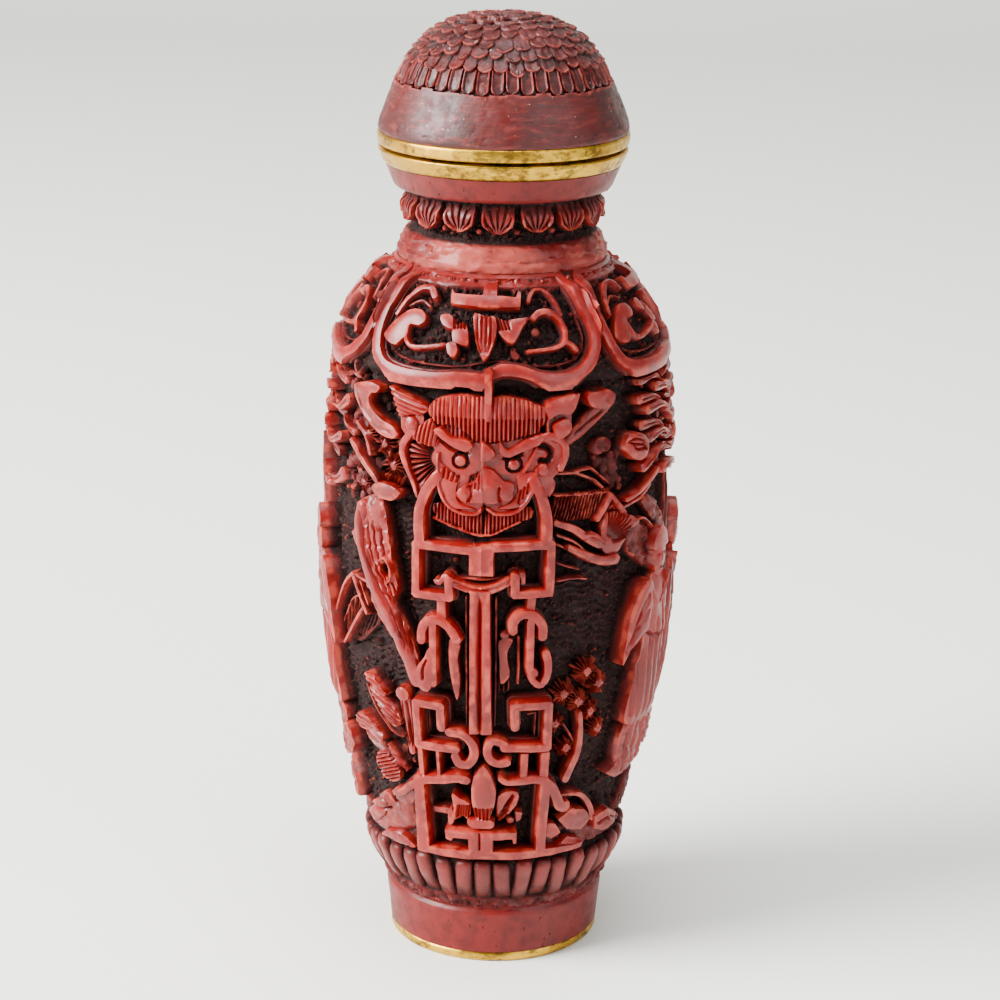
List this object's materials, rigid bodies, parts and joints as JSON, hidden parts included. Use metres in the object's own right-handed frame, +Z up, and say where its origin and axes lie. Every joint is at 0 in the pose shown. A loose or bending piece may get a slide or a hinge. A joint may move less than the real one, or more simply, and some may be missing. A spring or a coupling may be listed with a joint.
{
  "type": "snuff bottle",
  "caption": "Carved red snuff bottle with a beast mask and hanging scroll frame, brass fittings and a domed flower cap that lifts off.",
  "frame": {"origin": "centre of the underside of the brass base plate", "axes": "+Z up along the bottle's axis, -Y towards the front with the mask, +X to the right of someone who faces the mask"},
  "size_m": [0.0301, 0.031, 0.08],
  "materials": {
    "carved_red": "satin moulded red composition with dark ground",
    "cap_red": "worn semi-gloss maroon",
    "brass": "worn, with dark patina"
  },
  "bodies": {
    "root": {"bottle_body": "carved_red", "base_plate": "brass", "mouth_ring": "brass", "cap_ring": "brass", "cap_dome": "cap_red"}
  },
  "joints": []
}
